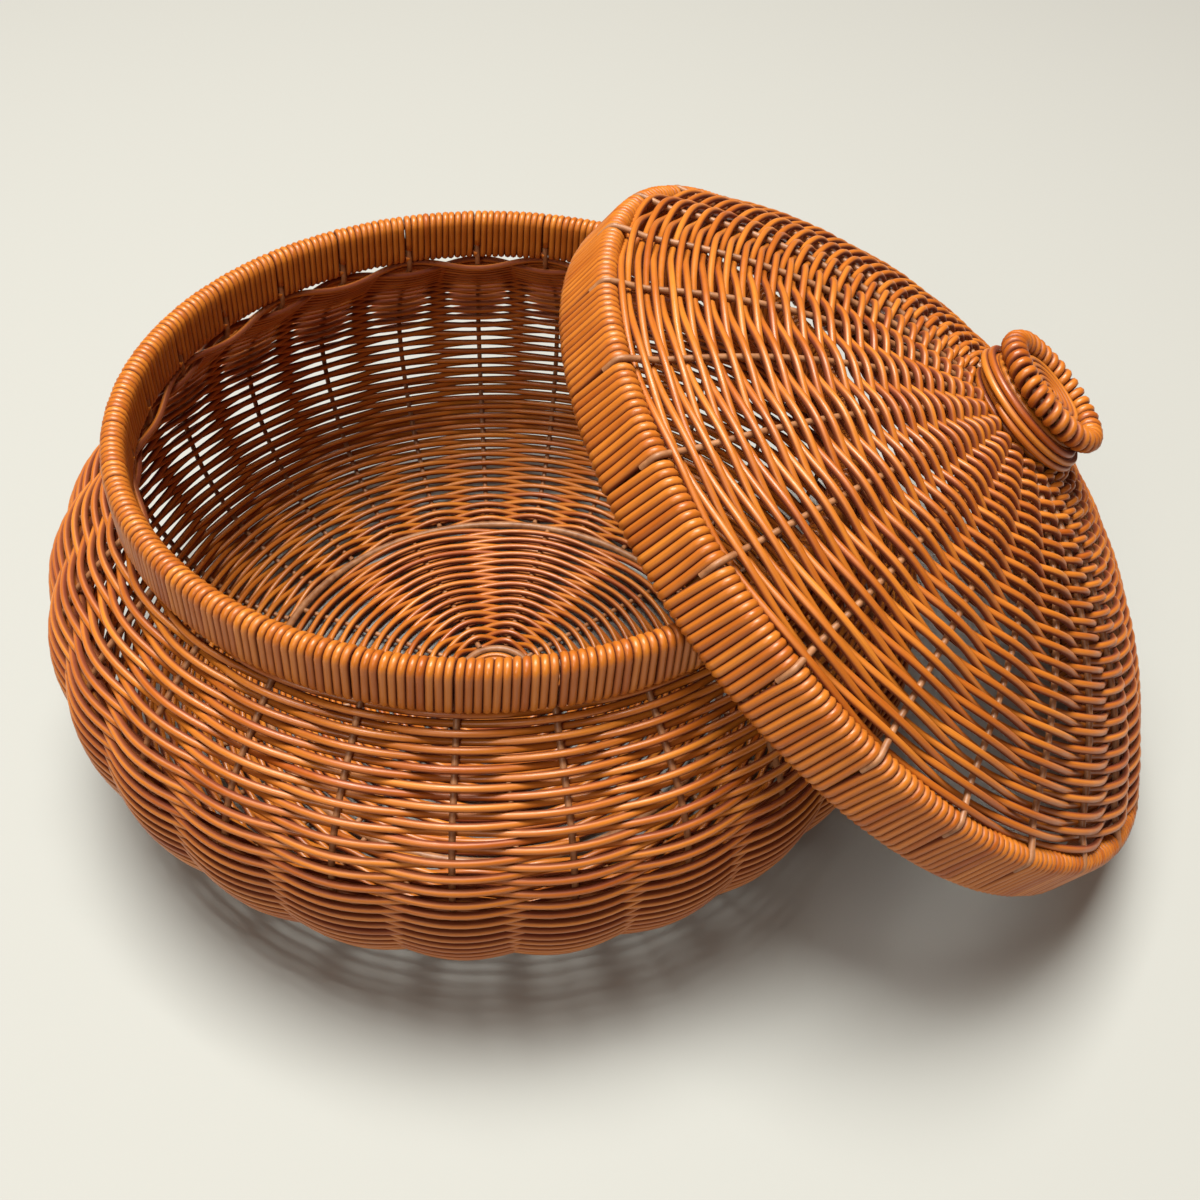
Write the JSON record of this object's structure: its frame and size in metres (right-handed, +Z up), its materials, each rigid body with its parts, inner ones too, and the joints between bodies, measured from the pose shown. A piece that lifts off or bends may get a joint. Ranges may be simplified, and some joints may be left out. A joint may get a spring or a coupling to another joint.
{
  "type": "lidded egg basket",
  "caption": "Round-bellied woven basket for eggs, with a strand-bound rim and a domed lid with a wound knob that lifts off and leans on the rim.",
  "frame": {"origin": "centre of the basket's flat underside, on the floor, on the basket's own axis", "axes": "+Z up along the basket's axis, +X towards the side where the lid leans, +Y to the back"},
  "size_m": [0.4746, 0.366, 0.2277],
  "materials": {
    "weave_strand": "satin orange-brown synthetic rattan strand",
    "edge_strand": "satin orange-brown synthetic rattan strand, wound",
    "knob_strand": "satin orange-brown synthetic rattan strand, wound",
    "coated_wire": "pale brown coated wire"
  },
  "bodies": {
    "basket": {"base_weave": "weave_strand", "base_hoop": "coated_wire", "base_ring": "coated_wire", "base_spokes": "coated_wire", "foot_weave": "weave_strand", "lower_weave": "weave_strand", "belly_weave": "weave_strand", "shoulder_weave": "weave_strand", "neck_weave": "weave_strand", "side_stakes": "coated_wire", "rim_lower_hoop": "coated_wire", "rim_upper_hoop": "coated_wire", "rim_wrap": "edge_strand"},
    "lid": {"lid_edge_weave": "weave_strand", "lid_middle_weave": "weave_strand", "lid_crown_weave": "weave_strand", "lid_spokes": "coated_wire", "lid_lower_hoop": "coated_wire", "lid_upper_hoop": "coated_wire", "lid_rim_wrap": "edge_strand", "crown_plug": "knob_strand", "collar_coil": "knob_strand", "knob_ring": "coated_wire", "knob_wrap": "knob_strand", "knob_eye": "knob_strand"}
  },
  "joints": [
    {"name": "lid_lift", "type": "slide", "parent": "basket", "child": "lid", "axis": [0, 0, 1], "range_m": [0, 0.2]}
  ]
}
